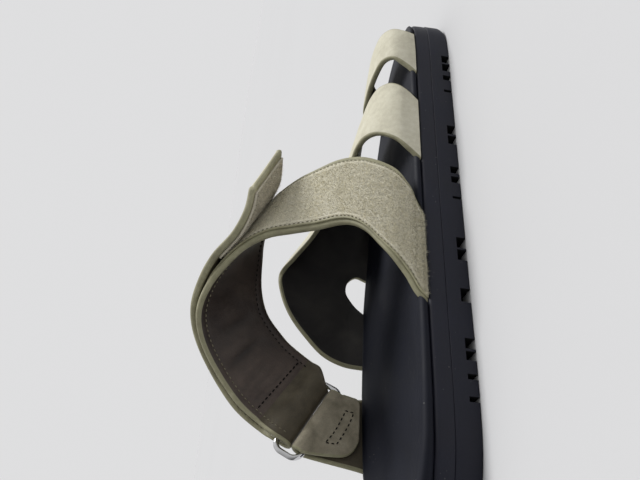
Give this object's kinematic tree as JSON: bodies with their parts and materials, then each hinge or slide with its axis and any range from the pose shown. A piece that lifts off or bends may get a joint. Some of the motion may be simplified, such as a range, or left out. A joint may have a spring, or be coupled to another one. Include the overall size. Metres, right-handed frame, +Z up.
{
  "type": "sandal",
  "caption": "Left backless sandal: lugged sole, moulded footbed, toe and vamp straps, and an instep strap that runs through a metal ring to a hook-and-loop tab.",
  "frame": {"origin": "middle of the object's box, on the floor under the sole", "axes": "+X to the medial side of this left shoe, +Y to the toe, +Z up"},
  "size_m": [0.0912, 0.2676, 0.1131],
  "materials": {
    "outsole_rubber": "matt charcoal moulded rubber",
    "midsole_foam": "matt charcoal foam",
    "footbed_foam": "satin charcoal moulded foam with a soft skin",
    "strap_leather": "light khaki nubuck outside, dark brown lining inside",
    "pile_facing": "short napped pile",
    "hook_tape": "grey-brown hook tape",
    "ring_chrome": "polished chrome wire"
  },
  "bodies": {
    "root": {"outsole": "outsole_rubber", "midsole": "midsole_foam", "footbed": "footbed_foam", "toe_strap": "strap_leather", "vamp_strap": "strap_leather", "instep_strap": "strap_leather", "loop_facing": "pile_facing", "hook_patch": "hook_tape", "ring": "ring_chrome", "ring_tab": "strap_leather"}
  },
  "joints": []
}
